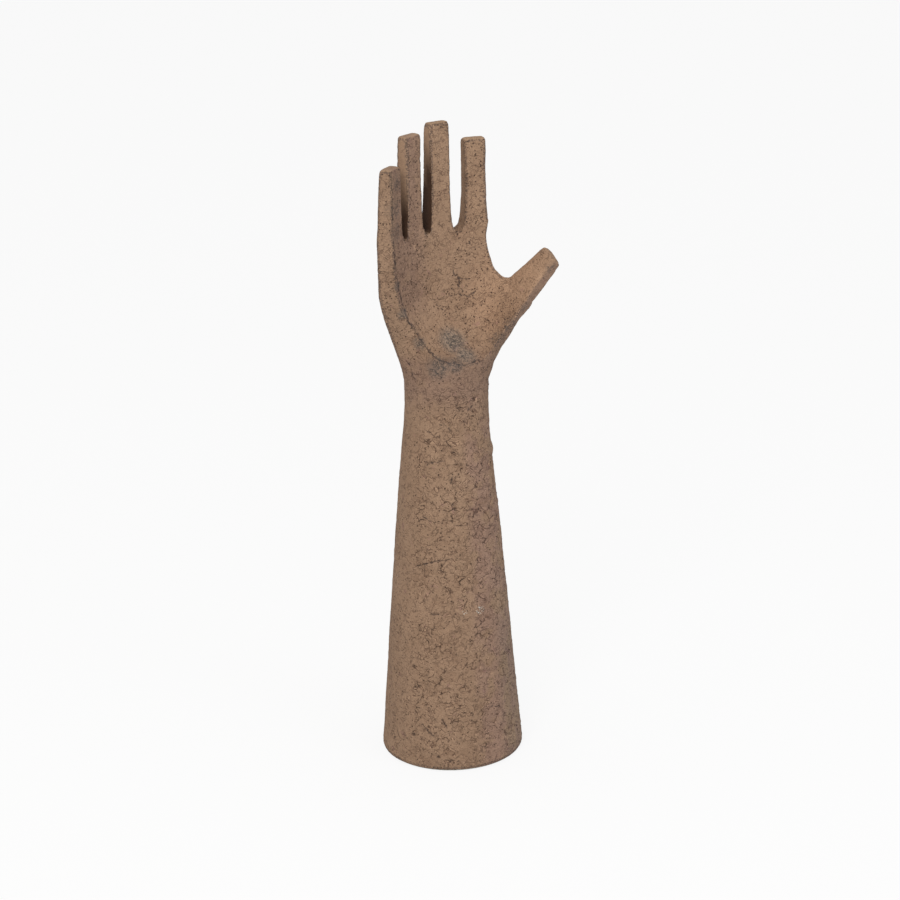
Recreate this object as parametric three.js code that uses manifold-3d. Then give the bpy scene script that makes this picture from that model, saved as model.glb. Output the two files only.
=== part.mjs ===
// Standing right hand on a tapered forearm, an ornament with a rough dried-clay skin.
// Millimetres, +Z up. The origin is the centre of the foot's underside and the palm faces -Y.
import * as THREE from 'three';
import { mergeVertices } from 'three/addons/utils/BufferGeometryUtils.js';
import Module from 'manifold-3d';

// Clearances
const glueLine = 0.3;

// Foot: a felt pad under a board that closes the hollow forearm
const feltThickness = 1.2;
const feltInset = 2.7;
const boardThickness = 9;
const boardLedge = 1.5;
const footEdgeRounding = 2.4;

// Forearm: a hollow shell, nearly a straight cone, with a waist at the wrist
const footRadius = 52.7;
const wristJointHeight = 290;
const waistDrop = 14;
const waistRadius = 30.6;
const waistCurve = 312;
const taperDrop = 18;
const taperBulge = 0.8;
const wallThickness = 6;

// Wrist plug: a turned wooden block, half in the forearm and half in the palm
const plugLength = 37;
const plugInPalm = 9;
const plugChamfer = 1.5;

// Palm: from the wrist joint up to the knuckles. Heights on it are given as drops below these
const palmLength = 114;

// Hollow of the hand: an upright cylinder whose floor curves forward to the wrist
const hollowRadius = 80.5;
const hollowBack = 3;
const floorDrop = 41;
const floorRadius = 60;
const thumbFloorRise = 45;
const thumbFloorEase = 20;
const thumbSideStart = 15;
const thumbSideEnd = 60;

// Slab of the hand: thickness at the knuckles, growing thinner towards the fingertips
const knuckleThickness = 12.7;
const tipThickness = 8.8;
const thicknessTaper = 66;
const thumbSideFullness = 1.8;
const palmChamfer = 1.6;

// Where the round wrist turns into the flat slab: smoothly at the little finger, straight at the
// thumb. The corners are degrees round the wrist, and its outside stands a little to the thumb side
const littleBackBlend = [119, 35];
const littleSideBlend = [84, 12];
const thumbBlendDrop = 55;
const wristBackCorner = 105;
const wristBackCornerGap = 4;
const wristEdge = 73;
const wristFront = 60;
const frontOverhang = 8;
const wristFlare = 36;
const wristOffset = 1.3;
const wristOffsetRise = 55;

// Fingers: flat bars with rounded edges. Angle in degrees round the hollow, length from the knuckles
const fingers = {
  little_finger: { angle: -33.3, length: 50.8, width: 16.4, waist: 0.1 },
  ring_finger: { angle: -16.1, length: 69.6, width: 16.4, waist: 0.7 },
  middle_finger: { angle: 1.5, length: 74.5, width: 16.8, waist: 0.3 },
  index_finger: { angle: 20.8, length: 60.6, width: 16.2, waist: 0.5 },
};
const rootFlare = 0.8;
const rootFlareHeight = 26;
const fingerRounding = 1.8;
const slotDepths = [4.6, 5, 6.2];

// Thumb: a tapered bar. Its edges are given as degrees round the hollow and drop below the knuckles
const thumbUpperDrops = [[41.0, 37.8], [45.6, 31.8], [56.8, 17.1]];
const thumbLowerDrops = [[51.0, 50.6], [57.0, 39.0], [63.6, 26.0]];
const thumbTipThickness = 10;
const thumbTwist = 14;
const thumbDroop = 18;
const thumbRounding = 1.8;

// Web between the index finger and the thumb, from the finger down and across to the thumb
const webDrops = [[25.9, 12.5], [26.9, 24.0], [29.2, 34.6], [31.8, 39.6], [35.2, 42.1], [38.4, 41.2]];

// Armature: one bent steel rod for each digit, glued into the plug and running inside the slab
const rodRadius = 1.5;
const rodSeat = 16;
const rodTipCover = 9;
const rodSpread = { little_finger: -13, ring_finger: -7, middle_finger: 0.5, index_finger: 7, thumb: 13 };
const rodSetBack = { little_finger: 8, ring_finger: 11.5, middle_finger: 13, index_finger: 11, thumb: 5 };
const rodRiseDrop = 42;
const thumbRodBow = new THREE.Vector3(0, 4, -2);

// Facets
const roundSegments = 56;
const forearmSteps = 16;
const boreSteps = 5;
const slabLevels = 24;
const hollowColumns = 40;
const hollowRows = 24;
const hollowRowEase = 1.3;
const cutterStep = 4;
const backCount = 22;
const sideCount = 5;
const frontCount = 12;
const slotSteps = 10;
const webSteps = 28;
const rodSteps = 26;
const fingerSteps = 9;
const thumbSteps = 7;

// Cutters run past the faces that they cut
const cutterOverrun = 12;
const cutterDepth = 50;
const cutterFront = -160;
const cutterSweep = [-76, 84];
const lowestFloorShare = 0.985;
const largestRoundingShare = 0.9;

const radians = THREE.MathUtils.degToRad;
const { lerp, smoothstep, clamp } = THREE.MathUtils;
const waistHeight = wristJointHeight - waistDrop;
const taperHeight = waistHeight - taperDrop;
const knuckleHeight = wristJointHeight + palmLength;
const floorStart = knuckleHeight - floorDrop;
const hollowAxis = hollowBack - hollowRadius;
const atHeights = (drops) => drops.map(([angle, drop]) => [angle, knuckleHeight - drop]);
const thumbUpperEdge = atHeights(thumbUpperDrops);
const thumbLowerEdge = atHeights(thumbLowerDrops);
const webCurve = atHeights(webDrops);
const degreesFor = (width) => THREE.MathUtils.radToDeg(width / hollowRadius);

// Outer radius of the forearm at a height above its lower edge
function forearmRadius(z) {
  const waist = (height) => waistRadius + (height - waistHeight) ** 2 / (2 * waistCurve);
  if (z >= taperHeight) return waist(z);
  const up = z / taperHeight;
  return lerp(footRadius, waist(taperHeight), up) + taperBulge * 4 * up * (1 - up);
}

// How far the outside of the wrist stands to the thumb side of the forearm's axis
function axisOffset(z) {
  return wristOffset * smoothstep(z, wristJointHeight - wristOffsetRise, wristJointHeight);
}

// Thickness of the slab at a height, with the fuller side at the thumb
function slabThickness(z, angle) {
  const up = clamp((z - knuckleHeight) / thicknessTaper, 0, 1);
  const side = smoothstep(angle, thumbSideStart, thumbSideEnd);
  return lerp(knuckleThickness, tipThickness, up) + thumbSideFullness * side;
}

// A point of the hollow's surface, or behind it by a depth along its normal.
// The angle goes round the hollow's axis, 0 at the back and positive towards the thumb.
// Twist and droop turn the depth's direction sideways and down, in degrees.
function handPoint(angle, z, depth = 0, twist = 0, droop = 0) {
  const side = smoothstep(angle, thumbSideStart, thumbSideEnd);
  const curve = floorRadius + thumbFloorEase * side;
  const lean = clamp((floorStart + thumbFloorRise * side - z) / curve, 0, 1);
  const level = Math.sqrt(1 - lean * lean);
  const radius = hollowRadius - curve * (1 - level);
  const place = radians(angle);
  const facing = radians(angle + twist);
  const slope = Math.asin(lean) + radians(droop);
  return new THREE.Vector3(
    radius * Math.sin(place) + depth * Math.cos(slope) * Math.sin(facing),
    hollowAxis + radius * Math.cos(place) + depth * Math.cos(slope) * Math.cos(facing),
    z - depth * Math.sin(slope),
  );
}

// A closed mesh from points and triangles, with its faces pointing out
function closedGeometry(points, triangles) {
  let volume = 0;
  const cross = new THREE.Vector3();
  for (const [a, b, c] of triangles) {
    volume += points[a].dot(cross.crossVectors(points[b], points[c]));
  }
  const ordered = volume > 0 ? triangles : triangles.map(([a, b, c]) => [a, c, b]);
  const geometry = new THREE.BufferGeometry();
  geometry.setAttribute('position', new THREE.Float32BufferAttribute(points.flatMap((p) => p.toArray()), 3));
  geometry.setIndex(ordered.flat());
  return geometry;
}

// Skin over a stack of rings that have equally many points, with a fan over each end
function loft(rings) {
  const count = rings[0].length;
  const points = rings.flat();
  const triangles = [];
  for (let level = 0; level + 1 < rings.length; level += 1) {
    for (let i = 0; i < count; i += 1) {
      const a = level * count + i;
      const b = level * count + (i + 1) % count;
      triangles.push([a, b, b + count], [a, b + count, a + count]);
    }
  }
  const middle = (ring) => ring.reduce((sum, p) => sum.add(p), new THREE.Vector3()).divideScalar(count);
  const first = points.push(middle(rings[0])) - 1;
  const last = points.push(middle(rings.at(-1))) - 1;
  const top = (rings.length - 1) * count;
  for (let i = 0; i < count; i += 1) {
    const next = (i + 1) % count;
    triangles.push([first, next, i], [last, top + i, top + next]);
  }
  return closedGeometry(points, triangles);
}

// A cutter through the slab: an outline in angle and height, from one depth to another
function slabCutter(corners, front, back) {
  const outline = corners.flatMap(([angle, z], i) => {
    const [nextAngle, nextZ] = corners[(i + 1) % corners.length];
    const pieces = Math.ceil(Math.max(Math.abs(nextAngle - angle), Math.abs(nextZ - z)) / cutterStep);
    return Array.from({ length: pieces }, (_, k) => [
      lerp(angle, nextAngle, k / pieces), lerp(z, nextZ, k / pieces),
    ]);
  });
  const flat = outline.map(([angle, z]) => new THREE.Vector2(angle, z));
  const cap = THREE.ShapeUtils.triangulateShape(flat, []);
  const count = outline.length;
  const points = [front, back].flatMap((depth) => outline.map(([angle, z]) => handPoint(angle, z, depth)));
  const triangles = [];
  const turn = THREE.ShapeUtils.isClockWise(flat) ? -1 : 1;
  for (const [a, b, c] of cap) {
    triangles.push([a, b, c], [a + count, c + count, b + count]);
  }
  for (let i = 0; i < count; i += 1) {
    const next = (i + 1) % count;
    const wall = [[i, i + count, next + count], [i, next + count, next]];
    triangles.push(...wall.map(([a, b, c]) => (turn > 0 ? [a, b, c] : [a, c, b])));
  }
  return closedGeometry(points, triangles);
}

// A round rod along a curve
function tube(curve, radius, steps) {
  const section = new THREE.Shape().absarc(0, 0, radius, 0, 2 * Math.PI);
  return new THREE.ExtrudeGeometry(section, { extrudePath: curve, steps, curveSegments: 4 });
}

// Booleans
const wasm = await Module();
wasm.setup();

function solid(geometry) {
  const bare = geometry.clone();
  bare.deleteAttribute('normal');
  bare.deleteAttribute('uv');
  const merged = mergeVertices(bare, 1e-4);
  return new wasm.Manifold(new wasm.Mesh({
    numProp: 3,
    vertProperties: new Float32Array(merged.attributes.position.array),
    triVerts: new Uint32Array(merged.index.array),
  }));
}

function geometryOf(manifold) {
  const { vertProperties, triVerts } = manifold.getMesh();
  const geometry = new THREE.BufferGeometry();
  geometry.setAttribute('position', new THREE.BufferAttribute(new Float32Array(vertProperties), 3));
  geometry.setIndex(new THREE.BufferAttribute(new Uint32Array(triVerts), 1));
  return geometry;
}

// Edges of a finger at a height: half its width, in degrees round the hollow
function fingerHalf(finger, z) {
  const up = clamp((z - knuckleHeight) / finger.length, 0, 1);
  const root = clamp(1 - (z - knuckleHeight) / rootFlareHeight, 0, 1);
  const pinch = finger.waist * 4 * up * (1 - up);
  return degreesFor(finger.width / 2 - pinch + rootFlare * root * root);
}

// A bar's section with rounded corners, as fractions across and depths, inset at its end
function roundedSection(width, thickness, rounding, inset) {
  const section = [];
  const half = width / 2 - inset;
  const deep = thickness / 2 - inset;
  const round = Math.min(rounding, half * largestRoundingShare, deep * largestRoundingShare);
  const corners = [[1, 1], [-1, 1], [-1, -1], [1, -1]];
  corners.forEach(([x, y], i) => {
    for (const turn of [0, 45, 90]) {
      const a = radians(90 * i + turn);
      section.push([
        (x * (half - round) + round * Math.cos(a)) / width,
        thickness / 2 + y * (deep - round) + round * Math.sin(a),
      ]);
    }
    const [nextX, nextY] = corners[(i + 1) % corners.length];
    const middleX = (x + nextX) / 2;
    const middleY = (y + nextY) / 2;
    section.push([(middleX * half) / width, thickness / 2 + middleY * deep]);
  });
  return section;
}

// Heights along a bar, with closer ones over its rounded end: [share of the length, inset]
function barStations(length, rounding, count) {
  const stations = [];
  for (let i = 0; i <= count; i += 1) {
    stations.push([(i / count) * (1 - rounding / length), 0]);
  }
  for (const turn of [30, 60, 90]) {
    const a = radians(turn);
    stations.push([1 - (rounding / length) * (1 - Math.sin(a)), rounding * (1 - Math.cos(a))]);
  }
  return stations;
}

function fingerGeometry(name, finger) {
  const start = knuckleHeight + glueLine;
  const length = finger.length - glueLine;
  const rings = barStations(length, fingerRounding, fingerSteps).map(([share, inset]) => {
    const z = start + share * length;
    const half = fingerHalf(finger, z);
    const width = 2 * half * radians(1) * hollowRadius;
    return roundedSection(width, slabThickness(z, finger.angle), fingerRounding, inset)
      .map(([across, depth]) => handPoint(finger.angle + across * 2 * half, z, depth));
  });
  return geometryOf(solid(loft(rings)).subtract(channels[name]));
}

// A smooth line through pairs of angle and height
function edgeLine(pairs) {
  return new THREE.SplineCurve(pairs.map(([angle, z]) => new THREE.Vector2(angle, z)));
}

const upperLine = edgeLine(thumbUpperEdge);
const lowerLine = edgeLine(thumbLowerEdge);

// The thumb is as thick at its root as the palm is there
function thumbRootThickness() {
  const root = upperLine.getPoint(0).lerp(lowerLine.getPoint(0), 0.5);
  return slabThickness(root.y, root.x);
}

function thumbGeometry() {
  const reach = (line) => handPoint(line.getPoint(0).x, line.getPoint(0).y)
    .distanceTo(handPoint(line.getPoint(1).x, line.getPoint(1).y));
  const length = (reach(upperLine) + reach(lowerLine)) / 2;
  const rings = barStations(length, thumbRounding, thumbSteps).map(([along, inset]) => {
    const upper = upperLine.getPoint(along);
    const lower = lowerLine.getPoint(along);
    const width = handPoint(upper.x, upper.y).distanceTo(handPoint(lower.x, lower.y));
    const thickness = lerp(thumbRootThickness(), thumbTipThickness, along);
    return roundedSection(width, thickness, thumbRounding, inset).map(([across, depth]) => {
      const at = lower.clone().lerp(upper, 0.5 - across);
      return handPoint(at.x, at.y, depth, thumbTwist * along, thumbDroop * along);
    });
  });
  return geometryOf(solid(loft(rings)).intersect(solid(rootCutter(glueLine))).subtract(channels.thumb));
}

// Outline of the hand's root at a level: on the wrist it is a circle, at the knuckles the slab
function handRing(z) {
  const slabFrom = handSlabStart();
  const level = Math.max(z, slabFrom);
  const little = fingers.little_finger;
  const left = little.angle - fingerHalf(little, knuckleHeight);
  const right = lowerEdgeAngle(level);
  const rightThick = slabThickness(level, right);
  const leftThick = slabThickness(level, left);
  const cutCorner = degreesFor(palmChamfer);
  const ring = [];
  const add = (turn, point, blend) => {
    const r = forearmRadius(Math.min(z, waistHeight + wristFlare));
    const round = new THREE.Vector3(r * Math.sin(radians(turn)), -r * Math.cos(radians(turn)), z);
    round.x += axisOffset(z);
    ring.push(round.lerp(point.setZ(point.z + z - level), blend));
  };
  const blended = ([from, to]) => smoothstep(z, knuckleHeight - from, knuckleHeight - to);
  const atLittleBack = blended(littleBackBlend);
  const atLittleSide = blended(littleSideBlend);
  const atThumb = clamp((z - wristJointHeight - glueLine) / (palmLength - thumbBlendDrop), 0, 1);
  for (let i = 0; i <= backCount; i += 1) {
    const share = i / backCount;
    const angle = lerp(left + cutCorner, right - cutCorner, share);
    const thick = slabThickness(level, angle);
    add(lerp(-wristBackCorner, wristBackCorner - 360, share), handPoint(angle, level, thick),
      lerp(atLittleBack, atThumb, share));
  }
  for (let i = 0; i <= sideCount; i += 1) {
    const share = i / sideCount;
    const depth = lerp(rightThick - palmChamfer, 0, share);
    add(lerp(wristBackCorner - wristBackCornerGap, wristEdge, share),
      handPoint(right, level, depth), atThumb);
  }
  const rightFront = handPoint(right, level, -frontOverhang);
  const leftFront = handPoint(left, level, -frontOverhang);
  for (let i = 0; i <= frontCount; i += 1) {
    const share = i / frontCount;
    add(lerp(wristFront, -wristFront, share), rightFront.clone().lerp(leftFront, share),
      lerp(atThumb, atLittleSide, share));
  }
  for (let i = 0; i <= sideCount; i += 1) {
    const share = i / sideCount;
    const depth = lerp(0, leftThick - palmChamfer, share);
    add(lerp(-wristEdge, wristBackCornerGap - wristBackCorner, share), handPoint(left, level, depth),
      lerp(atLittleSide, atLittleBack, share));
  }
  return ring;
}

// Angle of the palm's thumb-side edge at a height, on the line that the thumb's lower edge follows
function lowerEdgeAngle(z) {
  const [[startAngle, startZ], , [endAngle, endZ]] = thumbLowerEdge;
  return lerp(startAngle, endAngle, (z - startZ) / (endZ - startZ));
}

// Lowest level at which the slab has its own outline
function handSlabStart() {
  return thumbLowerEdge[0][1];
}

function palmBlank() {
  const rings = [];
  const bottom = wristJointHeight + glueLine;
  for (let i = 0; i <= slabLevels; i += 1) {
    rings.push(handRing(lerp(bottom, knuckleHeight, i / slabLevels)));
  }
  return loft(rings);
}

// Everything in front of the palm: the hollow's surface, closed far in front of the hand
function hollowCutter() {
  const low = floorStart - floorRadius * lowestFloorShare;
  const high = knuckleHeight + cutterOverrun;
  const points = [];
  const triangles = [];
  const columns = hollowColumns + 1;
  for (let j = 0; j <= hollowRows; j += 1) {
    for (let i = 0; i <= hollowColumns; i += 1) {
      const angle = lerp(...cutterSweep, i / hollowColumns);
      const z = lerp(low, high, (j / hollowRows) ** hollowRowEase);
      points.push(handPoint(angle, z));
    }
  }
  const sheet = points.length;
  for (let k = 0; k < sheet; k += 1) {
    points.push(points[k].clone().setY(cutterFront));
  }
  for (let j = 0; j < hollowRows; j += 1) {
    for (let i = 0; i < hollowColumns; i += 1) {
      const a = j * columns + i;
      const quad = [[a, a + 1, a + 1 + columns], [a, a + 1 + columns, a + columns]];
      triangles.push(...quad);
      triangles.push(...quad.map(([p, q, r]) => [p + sheet, r + sheet, q + sheet]));
    }
  }
  const rim = [];
  for (let i = 0; i < hollowColumns; i += 1) rim.push(i);
  for (let j = 0; j < hollowRows; j += 1) rim.push(j * columns + hollowColumns);
  for (let i = hollowColumns; i > 0; i -= 1) rim.push(hollowRows * columns + i);
  for (let j = hollowRows; j > 0; j -= 1) rim.push(j * columns);
  rim.forEach((a, k) => {
    const b = rim[(k + 1) % rim.length];
    triangles.push([a, b + sheet, b], [a, a + sheet, b + sheet]);
  });
  return closedGeometry(points, triangles);
}

// U-shaped slot between two fingers, open at the top
function slotCutter(leftFinger, rightFinger, depth) {
  const left = leftFinger.angle + fingerHalf(leftFinger, knuckleHeight);
  const right = rightFinger.angle - fingerHalf(rightFinger, knuckleHeight);
  const middle = (left + right) / 2;
  const half = (right - left) / 2;
  const outline = [[left, knuckleHeight + cutterOverrun]];
  for (let i = 0; i <= slotSteps; i += 1) {
    const a = radians(180 * (1 + i / slotSteps));
    outline.push([middle + half * Math.cos(a), knuckleHeight + depth * Math.sin(a)]);
  }
  outline.push([right, knuckleHeight + cutterOverrun]);
  return slabCutter(outline, -cutterOverrun, cutterDepth);
}

// The space between the index finger and the thumb
function webCutter() {
  const index = fingers.index_finger;
  const edge = index.angle + fingerHalf(index, knuckleHeight);
  const line = edgeLine([[edge, knuckleHeight], ...webCurve, thumbUpperEdge[0], thumbUpperEdge[1]]);
  const outline = line.getPoints(webSteps).map((p) => [p.x, p.y]);
  const beyond = thumbLowerEdge.at(-1)[0] + cutterOverrun;
  outline.push([beyond, knuckleHeight + cutterOverrun], [edge, knuckleHeight + cutterOverrun]);
  return slabCutter(outline, -cutterOverrun, cutterDepth);
}

// The space beyond the thumb's root, starting a gap further along the thumb
function rootCutter(gap) {
  const middleOf = (i) => [0, 1].map((k) => (thumbUpperEdge.at(i)[k] + thumbLowerEdge.at(i)[k]) / 2);
  const root = middleOf(0);
  const end = middleOf(-1);
  const share = gap / handPoint(...root).distanceTo(handPoint(...end));
  const shifted = ([edge]) => [0, 1].map((k) => edge[k] + share * (end[k] - root[k]));
  const upper = shifted(thumbUpperEdge);
  const lower = shifted(thumbLowerEdge);
  const along = [lower[0] - upper[0], lower[1] - upper[1]];
  const above = [upper[0] - along[0], upper[1] - along[1]];
  const below = [lower[0] + along[0], lower[1] + along[1]];
  const beyond = thumbLowerEdge.at(-1)[0] + 2 * cutterOverrun;
  const high = knuckleHeight + cutterOverrun;
  const outline = [above, below, [beyond, below[1]], [beyond, high], [above[0], high]];
  return slabCutter(outline, -cutterOverrun, cutterDepth);
}

// Path of an armature rod, from its seat in the plug to a digit's tip
function rodCurve(name, extra) {
  const plugTop = wristJointHeight + plugInPalm;
  const x = rodSpread[name];
  const y = rodSetBack[name];
  const points = [
    new THREE.Vector3(x, y, plugTop - rodSeat - extra),
    new THREE.Vector3(x, y, plugTop - rodSeat / 2),
    new THREE.Vector3(x, y, plugTop),
  ];
  if (name === 'thumb') {
    const root = (line) => line.getPoint(0);
    const end = (line) => line.getPoint(1);
    const at = (place, depth) => {
      const middle = place(upperLine).clone().lerp(place(lowerLine), 0.5);
      return handPoint(middle.x, middle.y, depth);
    };
    const rootPoint = at(root, thumbRootThickness() / 2);
    const endPoint = at(end, thumbTipThickness / 2);
    const direction = endPoint.clone().sub(rootPoint).normalize();
    const tip = endPoint.clone().addScaledVector(direction, extra - rodTipCover);
    points.push(points[2].clone().lerp(rootPoint, 0.45).add(thumbRodBow));
    points.push(rootPoint, rootPoint.clone().lerp(tip, 0.5), tip);
  } else {
    const { angle, length } = fingers[name];
    const tip = knuckleHeight + length;
    const inSlab = (z) => handPoint(angle, Math.max(z, floorStart), slabThickness(z, angle) / 2).setZ(z);
    const entry = inSlab(knuckleHeight - rodRiseDrop);
    points.push(points[2].clone().lerp(entry, 0.5));
    points.push(entry, inSlab(knuckleHeight), inSlab((knuckleHeight + tip) / 2));
    points.push(inSlab(tip - rodTipCover + extra));
  }
  return new THREE.CatmullRomCurve3(points, false, 'centripetal');
}

const channels = Object.fromEntries(Object.keys(rodSpread).map((name) => [
  name,
  solid(tube(rodCurve(name, glueLine), rodRadius + glueLine, rodSteps)),
]));

function forearmShell() {
  const profile = [];
  const bottom = 0;
  const innerRadius = (z) => Math.max(forearmRadius(z) - wallThickness, plugRadius() + glueLine);
  const recess = boardRadius() + glueLine;
  profile.push(new THREE.Vector2(recess, bottom));
  for (const turn of [0, 30, 60, 90]) {
    const a = radians(turn);
    profile.push(new THREE.Vector2(
      footRadius - footEdgeRounding * (1 - Math.sin(a)),
      footEdgeRounding * (1 - Math.cos(a)),
    ));
  }
  for (let i = 1; i <= forearmSteps; i += 1) {
    const z = lerp(footEdgeRounding, wristJointHeight, i / forearmSteps);
    profile.push(new THREE.Vector2(forearmRadius(z), z));
  }
  for (let i = 0; i <= boreSteps; i += 1) {
    const z = lerp(wristJointHeight, boardThickness, i / boreSteps);
    profile.push(new THREE.Vector2(innerRadius(z), z));
  }
  profile.push(new THREE.Vector2(recess, boardThickness), profile[0].clone());
  const shell = new THREE.LatheGeometry(profile, roundSegments).rotateX(Math.PI / 2);
  const skin = shell.attributes.position;
  for (let i = 0; i < skin.count; i += 1) {
    const z = skin.getZ(i);
    const outside = Math.hypot(skin.getX(i), skin.getY(i)) > forearmRadius(z) - wallThickness / 2;
    if (outside) skin.setX(i, skin.getX(i) + axisOffset(z));
  }
  return shell;
}

// The board stops against a ledge in the foot
function boardRadius() {
  return forearmRadius(boardThickness) - wallThickness + boardLedge - glueLine;
}

// The plug fills the neck of the forearm
function plugRadius() {
  return waistRadius - wallThickness - glueLine;
}

function wristPlug(extra) {
  const low = wristJointHeight + plugInPalm - plugLength;
  const high = wristJointHeight + plugInPalm;
  const r = plugRadius() + extra;
  const profile = [
    [0, low - extra], [r - plugChamfer, low - extra], [r, low + plugChamfer - extra],
    [r, high - plugChamfer + extra], [r - plugChamfer, high + extra], [0, high + extra],
  ].map(([x, z]) => new THREE.Vector2(x, z));
  return new THREE.LatheGeometry(profile, roundSegments).rotateX(Math.PI / 2);
}

function disc(radius, low, thickness) {
  const geometry = new THREE.CylinderGeometry(radius, radius, thickness, roundSegments);
  return geometry.rotateX(Math.PI / 2).translate(0, 0, low + thickness / 2);
}

function palmGeometry() {
  const { little_finger: little, ring_finger: ring, middle_finger: middle, index_finger: index } = fingers;
  let palm = solid(palmBlank()).subtract(solid(hollowCutter()));
  palm = palm.subtract(solid(webCutter())).subtract(solid(rootCutter(0)));
  [[little, ring], [ring, middle], [middle, index]].forEach(([a, b], i) => {
    palm = palm.subtract(solid(slotCutter(a, b, slotDepths[i])));
  });
  palm = palm.subtract(solid(wristPlug(glueLine)));
  for (const channel of Object.values(channels)) palm = palm.subtract(channel);
  return geometryOf(palm);
}

function plugGeometry() {
  let plug = solid(wristPlug(0));
  for (const channel of Object.values(channels)) plug = plug.subtract(channel);
  return geometryOf(plug);
}

// Materials
const clay = (color) => new THREE.MeshStandardMaterial({ color, roughness: 0.95, metalness: 0 });
const steel = new THREE.MeshStandardMaterial({ color: '#8c8f92', roughness: 0.4, metalness: 1 });
const pine = new THREE.MeshStandardMaterial({ color: '#c9a877', roughness: 0.7, metalness: 0 });
const fibreboard = new THREE.MeshStandardMaterial({ color: '#a98c66', roughness: 0.85, metalness: 0 });
const felt = new THREE.MeshStandardMaterial({ color: '#e4e0d8', roughness: 1, metalness: 0 });

const sculpture = new THREE.Group();
const body = new THREE.Group();
body.position.z = feltThickness + glueLine;
sculpture.add(body);

function place(parent, name, geometry, material) {
  const mesh = new THREE.Mesh(geometry, material);
  mesh.name = name;
  parent.add(mesh);
}

place(sculpture, 'base_felt', disc(footRadius - feltInset, 0, feltThickness), felt);
place(body, 'base_board', disc(boardRadius(), 0, boardThickness - glueLine), fibreboard);
place(body, 'forearm_shell', forearmShell(), clay('#937a62'));
place(body, 'wrist_plug', plugGeometry(), pine);
place(body, 'palm', palmGeometry(), clay('#9c826a'));
for (const [name, finger] of Object.entries(fingers)) {
  place(body, name, fingerGeometry(name, finger), clay('#97806a'));
}
place(body, 'thumb', thumbGeometry(), clay('#a1866c'));
for (const name of Object.keys(rodSpread)) {
  place(body, `${name}_rod`, tube(rodCurve(name, 0), rodRadius, rodSteps), steel);
}

export default sculpture;
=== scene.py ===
import math
import bpy
import numpy as np
from mathutils import Matrix, Vector


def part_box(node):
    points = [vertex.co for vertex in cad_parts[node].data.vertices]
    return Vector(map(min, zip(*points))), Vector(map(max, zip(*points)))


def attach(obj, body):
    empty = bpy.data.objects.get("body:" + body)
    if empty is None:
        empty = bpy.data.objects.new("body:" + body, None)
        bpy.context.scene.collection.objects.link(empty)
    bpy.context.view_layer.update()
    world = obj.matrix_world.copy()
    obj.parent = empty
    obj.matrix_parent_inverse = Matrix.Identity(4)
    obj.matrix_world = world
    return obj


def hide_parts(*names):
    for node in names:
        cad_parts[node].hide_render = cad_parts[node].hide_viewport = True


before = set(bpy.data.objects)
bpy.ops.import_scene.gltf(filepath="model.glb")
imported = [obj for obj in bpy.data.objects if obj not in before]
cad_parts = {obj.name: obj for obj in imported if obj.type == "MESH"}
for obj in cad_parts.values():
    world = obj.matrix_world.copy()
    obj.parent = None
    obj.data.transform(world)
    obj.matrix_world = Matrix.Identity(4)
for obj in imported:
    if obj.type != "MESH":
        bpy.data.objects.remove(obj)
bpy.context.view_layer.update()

bpy.ops.object.select_all(action="DESELECT")

# Camera. The photograph looks down on the hand by 19 degrees and stands 34 degrees to the side
# of the palm's own axis, from about 2 m away through a long lens, and leans by about a degree.
camera_place = Vector((-1.03201, -1.55419, 0.87828))
camera_turn = math.radians(33.666)
camera_pitch = math.radians(18.992)
camera_roll = math.radians(-1.199)
level_ahead = Vector((math.sin(camera_turn), math.cos(camera_turn), 0))
level_right = Vector((math.cos(camera_turn), -math.sin(camera_turn), 0))
ahead = level_ahead * math.cos(camera_pitch) - Vector((0, 0, math.sin(camera_pitch)))
level_up = level_ahead * math.sin(camera_pitch) + Vector((0, 0, math.cos(camera_pitch)))
right = level_right * math.cos(camera_roll) + level_up * math.sin(camera_roll)
up = level_up * math.cos(camera_roll) - level_right * math.sin(camera_roll)
bpy.ops.object.camera_add(location=camera_place)
camera = bpy.context.object
camera.name = "camera"
camera.data.lens = 107.1
camera.data.sensor_width = 36
camera.matrix_world = (
    Matrix.Translation(camera_place) @ Matrix((right, up, -ahead)).transposed().to_4x4()
)
bpy.context.scene.camera = camera

# Studio. A white floor that runs out of view and keeps a faint shadow, an even white
# surround, and two wide soft lamps: a warm one in front and a weaker, cooler one on the right.
bpy.ops.mesh.primitive_circle_add(vertices=64, radius=9, fill_type="NGON", location=(0, 0, 0))
floor = bpy.context.object
floor.name = "studio_floor"
paper = bpy.data.materials.new("white floor")
paper.use_nodes = True
nodes, links = paper.node_tree.nodes, paper.node_tree.links
nodes.clear()
matt = nodes.new("ShaderNodeBsdfDiffuse")
matt.inputs["Color"].default_value = (0.70, 0.70, 0.70, 1)
glow = nodes.new("ShaderNodeEmission")
glow.inputs["Color"].default_value = (1, 1, 1, 1)
glow.inputs["Strength"].default_value = 1.02
seen = nodes.new("ShaderNodeLightPath")
share = nodes.new("ShaderNodeMath")
share.operation = "MULTIPLY"
share.inputs[1].default_value = 0.85
both = nodes.new("ShaderNodeMixShader")
out = nodes.new("ShaderNodeOutputMaterial")
links.new(seen.outputs["Is Camera Ray"], share.inputs[0])
links.new(share.outputs[0], both.inputs["Fac"])
links.new(matt.outputs[0], both.inputs[1])
links.new(glow.outputs[0], both.inputs[2])
links.new(both.outputs[0], out.inputs["Surface"])
floor.data.materials.append(paper)

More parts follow.
